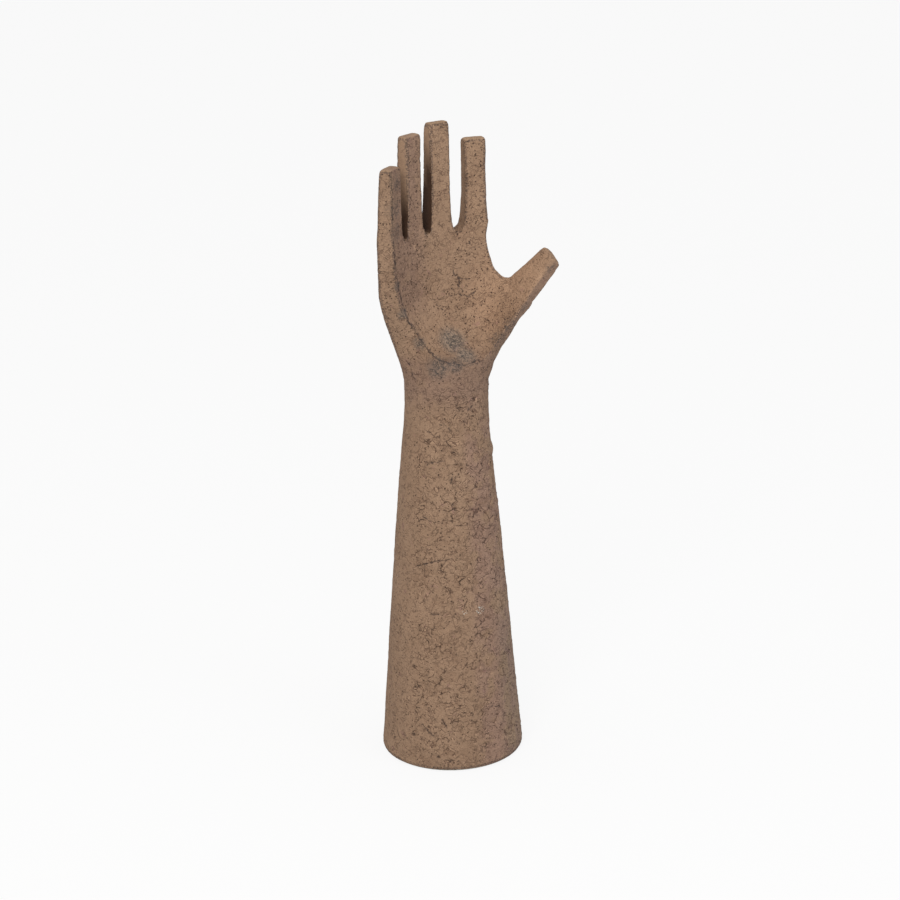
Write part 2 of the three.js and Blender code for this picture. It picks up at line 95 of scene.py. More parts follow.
world = bpy.data.worlds.new("white surround")
bpy.context.scene.world = world
world.use_nodes = True
nodes, links = world.node_tree.nodes, world.node_tree.links
nodes.clear()
plain = nodes.new("ShaderNodeBackground")
plain.inputs["Color"].default_value = (0.72, 0.72, 0.72, 1)
white = nodes.new("ShaderNodeBackground")
white.inputs["Color"].default_value = (0.965, 0.965, 0.965, 1)
seen = nodes.new("ShaderNodeLightPath")
glossy_too = nodes.new("ShaderNodeMath")
glossy_too.operation = "MAXIMUM"
glass_too = nodes.new("ShaderNodeMath")
glass_too.operation = "MAXIMUM"
choice = nodes.new("ShaderNodeMixShader")
out = nodes.new("ShaderNodeOutputWorld")
links.new(seen.outputs["Is Camera Ray"], glossy_too.inputs[0])
links.new(seen.outputs["Is Glossy Ray"], glossy_too.inputs[1])
links.new(glossy_too.outputs[0], glass_too.inputs[0])
links.new(seen.outputs["Is Transmission Ray"], glass_too.inputs[1])
links.new(glass_too.outputs[0], choice.inputs["Fac"])
links.new(plain.outputs[0], choice.inputs[1])
links.new(white.outputs[0], choice.inputs[2])
links.new(choice.outputs[0], out.inputs["Surface"])

lamp_aim = Vector((0, 0, 0.25))
for name, ahead_by, right_by, up_by, energy, colour in (
        ("front_lamp", 1.8, -0.45, 1.35, 25, (1.0, 0.975, 0.94)),
        ("right_lamp", 1.3, 1.6, 0.6, 8.5, (0.84, 0.92, 1.0))):
    lamp_place = lamp_aim - level_ahead * ahead_by + level_right * right_by + Vector((0, 0, up_by))
    bpy.ops.object.light_add(type="AREA", location=lamp_place)
    lamp = bpy.context.object
    lamp.name = name
    lamp.data.shape = "DISK"
    lamp.data.size = 1.1
    lamp.data.energy = energy
    lamp.data.color = colour
    lamp.rotation_mode = "QUATERNION"
    lamp.rotation_quaternion = (lamp_aim - lamp_place).to_track_quat("-Z", "Y")
bpy.context.scene.view_settings.view_transform = "Standard"

# Foot pad. A disc of pressed off-white felt, cut with a knife and glued under the foot, so its
# edge shows as a thin pale line.
felt = bpy.data.materials.new("pressed felt")
felt.use_nodes = True
nodes, links = felt.node_tree.nodes, felt.node_tree.links
shader = nodes["Principled BSDF"]
shader.inputs["Roughness"].default_value = 0.95
shader.inputs["Sheen Weight"].default_value = 0.3
where = nodes.new("ShaderNodeTexCoord")
fibres = nodes.new("ShaderNodeTexNoise")
fibres.inputs["Scale"].default_value = 1400
fibres.inputs["Detail"].default_value = 3
tone = nodes.new("ShaderNodeValToRGB")
tone.color_ramp.elements[0].color = (0.60, 0.57, 0.51, 1)
tone.color_ramp.elements[1].color = (0.80, 0.78, 0.73, 1)
nap = nodes.new("ShaderNodeBump")
nap.inputs["Strength"].default_value = 0.5
nap.inputs["Distance"].default_value = 0.0003
links.new(where.outputs["Object"], fibres.inputs["Vector"])
links.new(fibres.outputs["Fac"], tone.inputs["Fac"])
links.new(tone.outputs["Color"], shader.inputs["Base Color"])
links.new(fibres.outputs["Fac"], nap.inputs["Height"])
links.new(nap.outputs["Normal"], shader.inputs["Normal"])
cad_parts["base_felt"].data.materials.clear()
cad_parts["base_felt"].data.materials.append(felt)

# Foot board. A disc of fibreboard, sawn round and left plain, which is glued into the foot and
# closes the hollow forearm from below.
board = bpy.data.materials.new("fibreboard")
board.use_nodes = True
nodes, links = board.node_tree.nodes, board.node_tree.links
shader = nodes["Principled BSDF"]
shader.inputs["Roughness"].default_value = 0.85
where = nodes.new("ShaderNodeTexCoord")
chips = nodes.new("ShaderNodeTexNoise")
chips.inputs["Scale"].default_value = 900
tone = nodes.new("ShaderNodeValToRGB")
tone.color_ramp.elements[0].color = (0.22, 0.14, 0.07, 1)
tone.color_ramp.elements[1].color = (0.36, 0.25, 0.14, 1)
links.new(where.outputs["Object"], chips.inputs["Vector"])
links.new(chips.outputs["Fac"], tone.inputs["Fac"])
links.new(tone.outputs["Color"], shader.inputs["Base Color"])
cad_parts["base_board"].data.materials.clear()
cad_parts["base_board"].data.materials.append(board)

# Wrist plug. A turned block of pine with upright grain, half in the forearm's neck and half in
# the palm, glued into both to carry the hand.
pine = bpy.data.materials.new("turned pine")
pine.use_nodes = True
nodes, links = pine.node_tree.nodes, pine.node_tree.links
shader = nodes["Principled BSDF"]
shader.inputs["Roughness"].default_value = 0.6
where = nodes.new("ShaderNodeTexCoord")
along = nodes.new("ShaderNodeMapping")
along.inputs["Scale"].default_value = (220, 220, 12)
grain = nodes.new("ShaderNodeTexNoise")
grain.inputs["Scale"].default_value = 1
grain.inputs["Detail"].default_value = 4
tone = nodes.new("ShaderNodeValToRGB")
tone.color_ramp.elements[0].color = (0.42, 0.24, 0.10, 1)
tone.color_ramp.elements[1].color = (0.68, 0.48, 0.27, 1)
links.new(where.outputs["Object"], along.inputs["Vector"])
links.new(along.outputs["Vector"], grain.inputs["Vector"])
links.new(grain.outputs["Fac"], tone.inputs["Fac"])
links.new(tone.outputs["Color"], shader.inputs["Base Color"])
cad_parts["wrist_plug"].data.materials.clear()
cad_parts["wrist_plug"].data.materials.append(pine)

# Armature. One bent steel rod for each digit, drawn wire with fine lines along it, set in the
# plug and buried in the clay.
wire = bpy.data.materials.new("drawn steel wire")
wire.use_nodes = True
nodes, links = wire.node_tree.nodes, wire.node_tree.links
shader = nodes["Principled BSDF"]
shader.inputs["Metallic"].default_value = 1
shader.inputs["Base Color"].default_value = (0.45, 0.46, 0.47, 1)
where = nodes.new("ShaderNodeTexCoord")
along = nodes.new("ShaderNodeMapping")
along.inputs["Scale"].default_value = (3000, 3000, 40)
lines = nodes.new("ShaderNodeTexNoise")
lines.inputs["Scale"].default_value = 1
polish = nodes.new("ShaderNodeMapRange")
polish.inputs["To Min"].default_value = 0.28
polish.inputs["To Max"].default_value = 0.5
links.new(where.outputs["Object"], along.inputs["Vector"])
links.new(along.outputs["Vector"], lines.inputs["Vector"])
links.new(lines.outputs["Fac"], polish.inputs["Value"])
links.new(polish.outputs["Result"], shader.inputs["Roughness"])
FINGERS = ("little_finger", "ring_finger", "middle_finger", "index_finger")
DIGITS = FINGERS + ("thumb",)
for digit in DIGITS:
    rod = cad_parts[digit + "_rod"]
    rod.data.materials.clear()
    rod.data.materials.append(wire)

# Clay body. One skin of dark-tan modelling clay runs without a seam over the forearm, the palm
# and the digits. It is laid on by hand in dabs, and dries to a cracked and pitted crust.
CLAY_GRAIN = 0.00062
SAME_POINT = 0.00001
GLUE_SWELL = 0.0002
THUMB_WAY = (0.773, -0.406, 0.486)
FINGER_RUB, FINGER_FADE = 0.007, 0.004
THUMB_RUB, THUMB_FADE = 0.006, 0.003
THUMB_SIDE = 0.06

# The solids are swollen until they meet across the glue lines, and closed into one skin.
bpy.ops.object.select_all(action="DESELECT")
for name in ("forearm_shell", "palm", "wrist_plug") + DIGITS + tuple(d + "_rod" for d in DIGITS):
    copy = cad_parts[name].copy()
    copy.data = copy.data.copy()
    for key in list(copy.keys()):
        del copy[key]
    copy.parent = None
    bpy.context.scene.collection.objects.link(copy)
    copy.select_set(True)
    bpy.context.view_layer.objects.active = copy
bpy.ops.object.join()
clay = bpy.context.object
clay.name = "clay_body"
clay.data.materials.clear()
bpy.ops.object.mode_set(mode="EDIT")
bpy.ops.mesh.select_all(action="SELECT")
bpy.ops.mesh.remove_doubles(threshold=SAME_POINT)
bpy.ops.transform.shrink_fatten(value=GLUE_SWELL)
bpy.ops.object.mode_set(mode="OBJECT")


def finish_with(piece, kind, **settings):
    """Adds one modifier to a piece, sets it and applies it."""
    modifier = piece.modifiers.new("finish", kind)
    for name, value in settings.items():
        setattr(modifier, name, value)
    bpy.context.view_layer.objects.active = piece
    bpy.ops.object.modifier_apply(modifier="finish")


finish_with(clay, "REMESH", mode="VOXEL", voxel_size=CLAY_GRAIN)
finish_with(clay, "SMOOTH", factor=0.5, iterations=4)

# The digits' ends are rubbed rounder than their other edges, over their last few millimetres.
spots = np.empty(len(clay.data.vertices) * 3, np.float32)
clay.data.vertices.foreach_get("co", spots)
spots = spots.reshape(-1, 3)
rounded = np.zeros(len(spots))
for digit in FINGERS:
    low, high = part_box(digit)
    inside = (spots[:, 0] > low[0] - 0.001) & (spots[:, 0] < high[0] + 0.001)
    rounded += inside * np.clip((spots[:, 2] - high[2] + FINGER_RUB) / FINGER_FADE, 0, 1)
along_thumb = spots @ np.array(THUMB_WAY)
by_thumb = spots[:, 0] > THUMB_SIDE
thumb_end = along_thumb[by_thumb].max()
rounded += np.clip((along_thumb - thumb_end + THUMB_RUB) / THUMB_FADE, 0, 1) * by_thumb
rubbed = clay.vertex_groups.new(name="ends")
for share in (0.25, 0.5, 0.75, 1.0):
    chosen = np.nonzero((rounded > share - 0.25) & (rounded <= share))[0].tolist()
    rubbed.add(chosen, share, "REPLACE")
finish_with(clay, "SMOOTH", factor=0.5, iterations=42, vertex_group="ends")
clay.vertex_groups.clear()


def layer(tree, kind, output, inputs, **choices):
    """One node of the clay's patterns, with its inputs joined or set. Gives back one output."""
    node = tree.nodes.new(kind)
    for name, value in choices.items():
        setattr(node, name, value)
    for place, value in inputs.items():
        if isinstance(value, bpy.types.NodeSocket):
            tree.links.new(value, node.inputs[place])
        else:
            node.inputs[place].default_value = value
    return node.outputs[output]


def work(tree, operation, *values):
    """One sum on numbers, such as ADD or MULTIPLY."""
    return layer(tree, "ShaderNodeMath", 0, dict(enumerate(values)), operation=operation)


def shift(tree, operation, *values, output=0):
    """One sum on places or colours."""
    return layer(tree, "ShaderNodeVectorMath", output, dict(enumerate(values)),
                 operation=operation)


def axis_of(tree, value, which):
    """One of the three numbers of a place or colour."""
    return layer(tree, "ShaderNodeSeparateXYZ", which, {0: value})


def ramp(tree, value, low, high, at_low=0.0, at_high=1.0, ease="SMOOTHSTEP"):
    """at_low up to low, at_high from high on, with a soft step between them."""
    if low > high:
        low, high, at_low, at_high = high, low, at_high, at_low
    return layer(tree, "ShaderNodeMapRange", 0, {0: value, 1: low, 2: high, 3: at_low, 4: at_high},
                 interpolation_type=ease)


def close_to(tree, place, centre, outer, inner):
    """1 within the inner distance of a centre, fading to 0 at the outer one, in mm."""
    return ramp(tree, shift(tree, "DISTANCE", place, centre, output="Value"), outer, inner)


def mottle(tree, place, size, detail=1.0, output="Fac"):
    """Soft cloudy variation, size in mm."""
    return layer(tree, "ShaderNodeTexNoise", output,
                 {"Vector": place, "Scale": 1 / size, "Detail": detail, "Roughness": 0.55})


def cells(tree, place, size, output, feature="F1"):
    """Cells of one size in mm: their distance, colour or centre."""
    return layer(tree, "ShaderNodeTexVoronoi", output, {"Vector": place, "Scale": 1 / size},
                 feature=feature)


def plates(tree, place, size, slope, step):
    """Dabs of clay, each a plate with its own tilt and height, in mm."""
    own = shift(tree, "SUBTRACT", cells(tree, place, size, "Color"), (0.5, 0.5, 0.5))
    arm = shift(tree, "SUBTRACT", place, cells(tree, place, size, "Position"))
    tilt = work(tree, "MULTIPLY", shift(tree, "DOT_PRODUCT", arm, own, output="Value"), slope)
    rise = axis_of(tree, own, 1)
    return work(tree, "MULTIPLY_ADD", rise, step, tilt)


def steps(tree, place, size, slope, step):
    """Dabs of one size: their height in mm, the lower sides of their edges that take a painted
    shadow line, and the rims on top that take a painted highlight.
    """
    height = plates(tree, place, size, slope, step)
    own = axis_of(tree, cells(tree, place, size, "Color"), 1)
    next_one = axis_of(tree, cells(tree, place, size, "Color", "F2"), 1)
    over = work(tree, "SUBTRACT", own, next_one)
    edge = work(tree, "MULTIPLY", cells(tree, place, size, "Distance", "DISTANCE_TO_EDGE"), size)
    near = ramp(tree, edge, 0.5, 0.2)
    under = work(tree, "MULTIPLY", near, ramp(tree, over, -0.1, -0.4))
    rim = work(tree, "MULTIPLY", near, ramp(tree, over, 0.1, 0.4))
    return height, under, rim, edge


BIG_DAB, SMALL_DAB, PIT_SPACING = 8.5, 4.0, 5.2


def crust(tree, place):
    """The crust at a place in mm: its relief in mm, and how far it is gash, pit and rough."""
    across = shift(tree, "DOT_PRODUCT", place, tuple(level_right), output="Value")
    height = axis_of(tree, place, 2)
    axis_out = shift(tree, "LENGTH", shift(tree, "MULTIPLY", place, (1, 1, 0)), output="Value")
    side = work(tree, "DIVIDE", across, axis_out)
    on_arm = ramp(tree, height, 300, 284)
    left_band = work(tree, "MULTIPLY", ramp(tree, side, -0.5, -0.7), on_arm)
    bend = shift(tree, "SUBTRACT", mottle(tree, place, 12, output="Color"), (0.5, 0.5, 0.5))
    kink = shift(tree, "SUBTRACT", mottle(tree, place, 2.6, output="Color"), (0.5, 0.5, 0.5))
    bent = shift(tree, "MULTIPLY_ADD", bend, (12, 12, 12), place)
    bent = shift(tree, "MULTIPLY_ADD", kink, (1.9, 1.9, 1.9), bent)
    bent = shift(tree, "MULTIPLY", bent, (1, 1, 1.35))
    rough = ramp(tree, mottle(tree, place, 26), 0.36, 0.6, 0.45, 1.15)
    rough = work(tree, "MULTIPLY", rough, ramp(tree, on_arm, 0, 1, 0.45, 1.0))
    rough = work(tree, "MULTIPLY", rough, ramp(tree, left_band, 0, 1, 1.0, 0.35))

    big, big_under, big_rim, edge = steps(tree, bent, BIG_DAB, 0.05, 0.32)
    fine_place = shift(tree, "ADD", bent, (40, 7, 3))
    small, small_under, small_rim, _ = steps(tree, fine_place, SMALL_DAB, 0.10, 0.26)
    dabs = work(tree, "MULTIPLY", work(tree, "ADD", big, small), rough)
    some = ramp(tree, mottle(tree, place, 5), 0.40, 0.54)
    under = work(tree, "MULTIPLY", work(tree, "MAXIMUM", big_under, small_under), some)
    rim = work(tree, "MULTIPLY", work(tree, "MAXIMUM", big_rim, small_rim), some)

    broken = work(tree, "MULTIPLY", ramp(tree, mottle(tree, place, 6), 0.56, 0.62), rough)
    gash = work(tree, "MULTIPLY", ramp(tree, edge, 0.4, 0.15), broken)

    hole = cells(tree, bent, PIT_SPACING, "Distance")
    own = axis_of(tree, cells(tree, bent, PIT_SPACING, "Color"), 0)
    hole_size = ramp(tree, own, 0.62, 1.0, -0.05, 0.12, "LINEAR")
    pit = ramp(tree, work(tree, "SUBTRACT", hole, hole_size), 0.03, -0.04)

    swell = work(tree, "SUBTRACT", mottle(tree, place, 30), 0.5)
    lump = work(tree, "MULTIPLY", work(tree, "SUBTRACT", mottle(tree, place, 6, 2), 0.5), 0.6)
    relief = work(tree, "ADD", work(tree, "ADD", swell, lump), dabs)
    relief = work(tree, "MULTIPLY_ADD", gash, -0.7, relief)
    relief = work(tree, "MULTIPLY_ADD", pit, -0.5, relief)
    return {"relief": relief, "dabs": dabs, "gash": gash, "pit": pit, "rough": rough,
            "under": under, "rim": rim, "bent": bent, "height": height, "side": side}


# The longest cracks, and the line that runs along the palm's lip from the little finger down and
# round to the heel. Their points are listed: the cracks as pixels of the photograph, the
# lip as pixels of an enlargement. A ray from the camera carries each of them to the clay.
PHOTO_SIZE = 900
LIP_CORNER = (370, 90)
LIP_ENLARGED = 4.4
CRACKS = (
    ((459, 278), (463.5, 279), (469, 279)), ((453, 271), (455, 275), (459, 278), (459, 286)),
    ((451, 285), (454, 291)), ((459, 286), (464, 292)),
    ((450, 296), (457, 294.5), (463, 295), (471, 297), (479, 298)), ((469, 295), (476, 292)),
    ((437, 305), (440.5, 308), (447, 312)), ((469, 242), (472, 248), (480, 247)),
    ((408, 362), (411.5, 373.5), (416, 384)), ((419, 471), (426, 465.5), (432, 463), (445, 461)),
    ((416, 566), (427, 564), (436, 561), (452, 559)),
    ((423, 516), (429, 521), (435.5, 522.5), (440, 521)), ((425, 430), (429.5, 432.5)),
    ((449, 485.5), (451, 482.5), (453, 474)), ((432, 614), (442, 615)),
    ((420, 721), (427, 730), (433, 736)), ((442, 720), (447, 728), (450, 736)),
    ((437, 757), (449, 761), (459, 761)), ((440, 425), (447, 426), (450, 431)),
    ((468, 410), (473, 406)), ((492, 706), (496, 707), (502, 704)),
    ((441, 126), (443, 128), (448, 132), (449, 130)),
)
LIP = ((95, 380), (97, 450), (97, 520), (100, 600), (105, 680), (110, 750), (120, 830), (128, 880),
       (140, 930), (155, 980), (175, 1030), (200, 1070), (225, 1105), (255, 1145), (290, 1180),
       (320, 1195), (360, 1203), (400, 1210), (440, 1205), (480, 1185))


def on_clay(x, y):
    """Where a pixel of the photograph lies on the clay, in mm: across the view, 0 and up.

    Gives None for a pixel beside the clay.
    """
    sight = camera.data.lens / camera.data.sensor_width * PHOTO_SIZE
    ray = ahead + (right * (x - PHOTO_SIZE / 2) - up * (y - PHOTO_SIZE / 2)) / sight
    hit, spot, _, _ = clay.ray_cast(camera_place, ray)
    return (spot.dot(level_right) * 1000, 0, spot.z * 1000) if hit else None


bpy.context.view_layer.update()
lip = tuple((LIP_CORNER[0] + x / LIP_ENLARGED, LIP_CORNER[1] + y / LIP_ENLARGED) for x, y in LIP)
bpy.ops.object.select_all(action="DESELECT")
bpy.ops.mesh.primitive_plane_add(size=0.001)
scratches = bpy.context.object
scratches.name = "scratches"
corners, sides = [], []
for crack in CRACKS + (lip,):
    found = [corner for corner in (on_clay(*pixel) for pixel in crack) if corner]
    first, last = len(corners), len(corners) + len(found) - 1
    sides += [(number, number + 1) for number in range(first, last)]
    corners += found
scratches.data.clear_geometry()
scratches.data.from_pydata(corners, sides, [])

# The carving moves the skin along its normal: the crust's relief, the cracks, a press at the web of
# the thumb and one at the heel, a knob on the right edge, and domed fingertips. Only the outside is
# carved, and the foot stays flat. Worn ridges, relief and cracks are kept for the colour.
carving = bpy.data.node_groups.new("dry crust", "GeometryNodeTree")
carving.interface.new_socket("Geometry", in_out="INPUT", socket_type="NodeSocketGeometry")
carving.interface.new_socket("Geometry", in_out="OUTPUT", socket_type="NodeSocketGeometry")
begin = carving.nodes.new("NodeGroupInput")
place = shift(carving, "SCALE", layer(carving, "GeometryNodeInputPosition", 0, {}))
place.node.inputs["Scale"].default_value = 1000
carved = crust(carving, place)
across = shift(carving, "DOT_PRODUCT", place, tuple(level_right), output="Value")
up_to = axis_of(carving, place, 2)
spot = layer(carving, "ShaderNodeCombineXYZ", 0, {0: across, 1: 0.0, 2: up_to})
wander = shift(carving, "SUBTRACT", mottle(carving, place, 2.2, 2, "Color"), (0.5, 0.5, 0.5))
spot = shift(carving, "MULTIPLY_ADD", wander, (3, 0, 3), spot)
lines = layer(carving, "GeometryNodeObjectInfo", "Geometry", {"Object": scratches})
away = layer(carving, "GeometryNodeProximity", "Distance", {0: lines, "Sample Position": spot},
             target_element="EDGES")
out_way = layer(carving, "GeometryNodeInputNormal", 0, {})
in_view = shift(carving, "DOT_PRODUCT", out_way, tuple(level_ahead), output="Value")
wide = ramp(carving, mottle(carving, place, 4), 0.35, 0.65, 0.0, 0.45, "LINEAR")
scratch = ramp(carving, work(carving, "SUBTRACT", away, wide), 0.25, -0.15)
scratch = work(carving, "MULTIPLY", scratch, ramp(carving, in_view, -0.1, -0.3))
web_press = close_to(carving, place, (53, -27, 336), 15, 4)
heel_press = close_to(carving, place, (33, -22, 309), 16, 5)
press = work(carving, "MAXIMUM", work(carving, "MULTIPLY", web_press, 1.1), heel_press)
knob = close_to(carving, place, (27, -19, 238), 6, 1)
turn = layer(carving, "GeometryNodeInputMeshEdgeAngle", "Signed Angle", {})
turn = work(carving, "MULTIPLY", turn, 0.001 / CLAY_GRAIN)
ridge = layer(carving, "GeometryNodeBlurAttribute", 0,
              {0: turn, "Iterations": 6}, data_type="FLOAT")
kept = begin.outputs[0]
for name, value in (("ridge", ridge), ("relief", carved["relief"]), ("scratch", scratch)):
    kept = layer(carving, "GeometryNodeStoreNamedAttribute", 0,
                 {"Geometry": kept, "Name": name, "Value": value})
rise = work(carving, "MULTIPLY_ADD", scratch, -0.5, carved["relief"])
rise = work(carving, "MULTIPLY_ADD", press, -1.4, rise)
rise = work(carving, "MULTIPLY_ADD", knob, 1.1, rise)
dome = axis_of(carving, out_way, 2)
dome = work(carving, "MULTIPLY", ramp(carving, dome, 0.6, 0.95), ramp(carving, up_to, 476.5, 478.5))
rise = work(carving, "MULTIPLY_ADD", dome, 0.5, rise)
at_foot = ramp(carving, up_to, 3.4, 1.6)
rise = work(carving, "MULTIPLY", rise, work(carving, "SUBTRACT", 1.0, at_foot))
outside = shift(carving, "DOT_PRODUCT", out_way, shift(carving, "MULTIPLY", place, (1, 1, 0)),
                output="Value")
outside = work(carving, "MAXIMUM", ramp(carving, outside, -2, 2), ramp(carving, up_to, 275, 279))
rise = work(carving, "MULTIPLY", rise, outside)
step = shift(carving, "SCALE", out_way)
carving.links.new(work(carving, "MULTIPLY", rise, 0.001), step.node.inputs["Scale"])
sink = layer(carving, "ShaderNodeCombineXYZ", 0, {2: work(carving, "MULTIPLY", at_foot, -0.0008)})
step = shift(carving, "ADD", step, sink)
moved = layer(carving, "GeometryNodeSetPosition", 0, {"Geometry": kept, "Offset": step})
end = carving.nodes.new("NodeGroupOutput")
carving.links.new(moved, end.inputs[0])
finish_with(clay, "NODES", node_group=carving)
bpy.data.objects.remove(scratches)
clay.select_set(True)

crusted = bpy.data.materials.new("dry clay crust")
crusted.use_nodes = True
tree = crusted.node_tree
shader = tree.nodes["Principled BSDF"]
shader.inputs["Roughness"].default_value = 0.9
shader.inputs["Specular IOR Level"].default_value = 0.25
place = shift(tree, "SCALE", layer(tree, "ShaderNodeTexCoord", "Object", {}))
place.node.inputs["Scale"].default_value = 1000
seen_crust = crust(tree, place)


def blend(tree, share, first, second):
    """Mixes two colours."""
    return layer(tree, "ShaderNodeMix", 2, {0: share, 6: first, 7: second}, data_type="RGBA")


def tint(tree, share, colour, times):
    """A colour, multiplied where the share is 1."""
    return blend(tree, share, colour, shift(tree, "MULTIPLY", colour, times))


height = seen_crust["height"]
relief = layer(tree, "ShaderNodeAttribute", "Fac", {}, attribute_name="relief")
ridge = layer(tree, "ShaderNodeAttribute", "Fac", {}, attribute_name="ridge")
on_ridge = ramp(tree, ridge, 0.08, 0.13)
crease_shade = ramp(tree, ridge, -0.06, -0.2)

# The fingers' inner sides, their tops and the thumb are rubbed smoother than the rest.
HOLLOW_AXIS = (0.0, -77.5, 0.0)
from_axis = shift(tree, "SUBTRACT", place, HOLLOW_AXIS)
from_axis = shift(tree, "MULTIPLY", from_axis, (1, 1, 0))
out_way = shift(tree, "NORMALIZE", from_axis)
out_x = axis_of(tree, out_way, 0)
out_y = axis_of(tree, out_way, 1)
along = layer(tree, "ShaderNodeCombineXYZ", 0,
              {0: out_y, 1: work(tree, "MULTIPLY", out_x, -1.0), 2: 0.0})
facing = layer(tree, "ShaderNodeNewGeometry", "Normal", {})
turned = shift(tree, "DOT_PRODUCT", facing, along, output="Value")
upward = axis_of(tree, facing, 2)
sideways = axis_of(tree, place, 0)
left_side = work(tree, "MULTIPLY", ramp(tree, turned, -0.6, -0.85), ramp(tree, sideways, -48, -44))
right_side = work(tree, "MULTIPLY", ramp(tree, turned, 0.6, 0.85), ramp(tree, sideways, 30, 26))
in_slot = work(tree, "MULTIPLY", work(tree, "ADD", left_side, right_side),
               ramp(tree, height, 394, 404))
top = work(tree, "MULTIPLY", ramp(tree, upward, 0.55, 0.8), ramp(tree, height, 446, 452))
on_thumb = ramp(tree, sideways, 40, 54)
smoother = work(tree, "MAXIMUM", work(tree, "MAXIMUM", in_slot, top),
                work(tree, "MULTIPLY", on_thumb, 0.6))
texture = work(tree, "MULTIPLY_ADD", smoother, -0.85, 1.0)

# Pin holes, hair cracks and the dabs' crisp edges, too small for the mesh.
PIN_SPACING, HAIR_SPACING = 1.9, 3.4
rough = seen_crust["rough"]
speck = cells(tree, place, PIN_SPACING, "Distance")
own = axis_of(tree, cells(tree, place, PIN_SPACING, "Color"), 1)
own = work(tree, "ADD", own, ramp(tree, height, 300, 340, 0.0, 0.18))
speck_size = ramp(tree, own, 0.4, 1.0, -0.05, 0.30, "LINEAR")
pin_hole = ramp(tree, work(tree, "SUBTRACT", speck, speck_size), 0.04, -0.04)
pin_hole = work(tree, "MULTIPLY", pin_hole, texture)
hair_place = shift(tree, "MULTIPLY_ADD", seen_crust["bent"], (1, 1, 1.15), (9, 31, 17))
hair = cells(tree, hair_place, HAIR_SPACING, "Distance", "DISTANCE_TO_EDGE")
hair = work(tree, "MULTIPLY", hair, HAIR_SPACING)
hair = work(tree, "MULTIPLY", ramp(tree, hair, 0.3, 0.08),
            ramp(tree, mottle(tree, place, 4), 0.52, 0.60))
hair = work(tree, "MULTIPLY", hair, texture)
under = work(tree, "MULTIPLY", seen_crust["under"], texture)
rim = work(tree, "MULTIPLY", seen_crust["rim"], texture)
fine = work(tree, "MULTIPLY", mottle(tree, place, 1.2, 3), 0.7)
fine = work(tree, "MULTIPLY_ADD", seen_crust["dabs"], 1.3, fine)
fine = work(tree, "MULTIPLY", fine, texture)
fine = work(tree, "MULTIPLY_ADD", under, -0.2, fine)
fine = work(tree, "MULTIPLY_ADD", hair, -0.25, fine)
fine = work(tree, "MULTIPLY_ADD", pin_hole, -0.3, fine)
bump = layer(tree, "ShaderNodeBump", 0, {"Strength": 1.0, "Distance": 0.001, "Height": fine})
tree.links.new(bump, shader.inputs["Normal"])

# The colour: tan clay, darker in its hollows, with grime along the edges and painted shade in the
# creases and the slots.
tone = blend(tree, ramp(tree, mottle(tree, place, 22, 2), 0.35, 0.65),
             (0.266, 0.168, 0.107, 1), (0.290, 0.185, 0.119, 1))
tone = blend(tree, ramp(tree, relief, -0.45, 0.0), (0.235, 0.145, 0.092, 1), tone)
tone = blend(tree, ramp(tree, mottle(tree, place, 0.9, 3), 0.34, 0.66),
             shift(tree, "MULTIPLY", tone, (0.91, 0.91, 0.91)),
             shift(tree, "MULTIPLY", tone, (1.12, 1.12, 1.12)))
tone = tint(tree, ramp(tree, mottle(tree, place, 7, 2), 0.65, 0.73), tone, (0.95, 0.90, 0.99))
# Painted highlight on the dabs' upper rims, and a painted shadow line along the lower sides of
# their edges.
tone = tint(tree, work(tree, "MULTIPLY", rim, ramp(tree, rough, 0, 1, 0.3, 1)), tone,
            (1.32, 1.32, 1.32))
shadow_line = work(tree, "MULTIPLY", under, ramp(tree, rough, 0.1, 0.9, 0.4, 0.9))
tone = blend(tree, shadow_line, tone, (0.112, 0.063, 0.042, 1))
tone = blend(tree, work(tree, "MULTIPLY", hair, 0.5), tone, (0.120, 0.068, 0.046, 1))
tone = blend(tree, work(tree, "MULTIPLY", pin_hole, 0.92), tone, (0.060, 0.034, 0.024, 1))
tone = blend(tree, work(tree, "MULTIPLY", seen_crust["gash"], 0.8), tone,
             (0.072, 0.046, 0.035, 1))
tone = blend(tree, work(tree, "MULTIPLY", seen_crust["pit"], 0.7), tone,
             (0.070, 0.043, 0.032, 1))
scratch = layer(tree, "ShaderNodeAttribute", "Fac", {}, attribute_name="scratch")
tone = blend(tree, work(tree, "MULTIPLY", scratch, 0.9), tone, (0.060, 0.042, 0.036, 1))
worn = work(tree, "MULTIPLY", on_ridge, ramp(tree, mottle(tree, place, 1.1, 2), 0.44, 0.54))
worn = work(tree, "MULTIPLY", worn, ramp(tree, upward, 0.45, 0.7, 1.0, 0.0))
worn = work(tree, "MULTIPLY", worn, work(tree, "SUBTRACT", 1.0, on_thumb))
tone = blend(tree, work(tree, "MULTIPLY", worn, 0.65), tone, (0.070, 0.050, 0.043, 1))
# Painted shade along the concave creases, such as the bottoms of the slots.
tone = blend(tree, work(tree, "MULTIPLY", crease_shade, 0.6), tone, (0.070, 0.044, 0.032, 1))
# Painted highlight on the fingers' upward-facing tops.
tone = tint(tree, top, tone, (1.10, 1.14, 1.12))

# Painted cool light makes the forearm pinker along its right side, and painted shade makes it
# greyer at the right edge.
side = seen_crust["side"]
cool_light = work(tree, "MULTIPLY", ramp(tree, side, 0.30, 0.55), ramp(tree, height, 290, 240))
cool_light = work(tree, "MULTIPLY", cool_light, ramp(tree, mottle(tree, place, 16, 2), 0.38, 0.55))
tone = tint(tree, cool_light, tone, (0.97, 0.95, 1.05))
edge_shade = work(tree, "MULTIPLY", ramp(tree, side, 0.66, 0.90), ramp(tree, height, 200, 70))
tone = tint(tree, edge_shade, tone, (0.93, 0.99, 1.03))

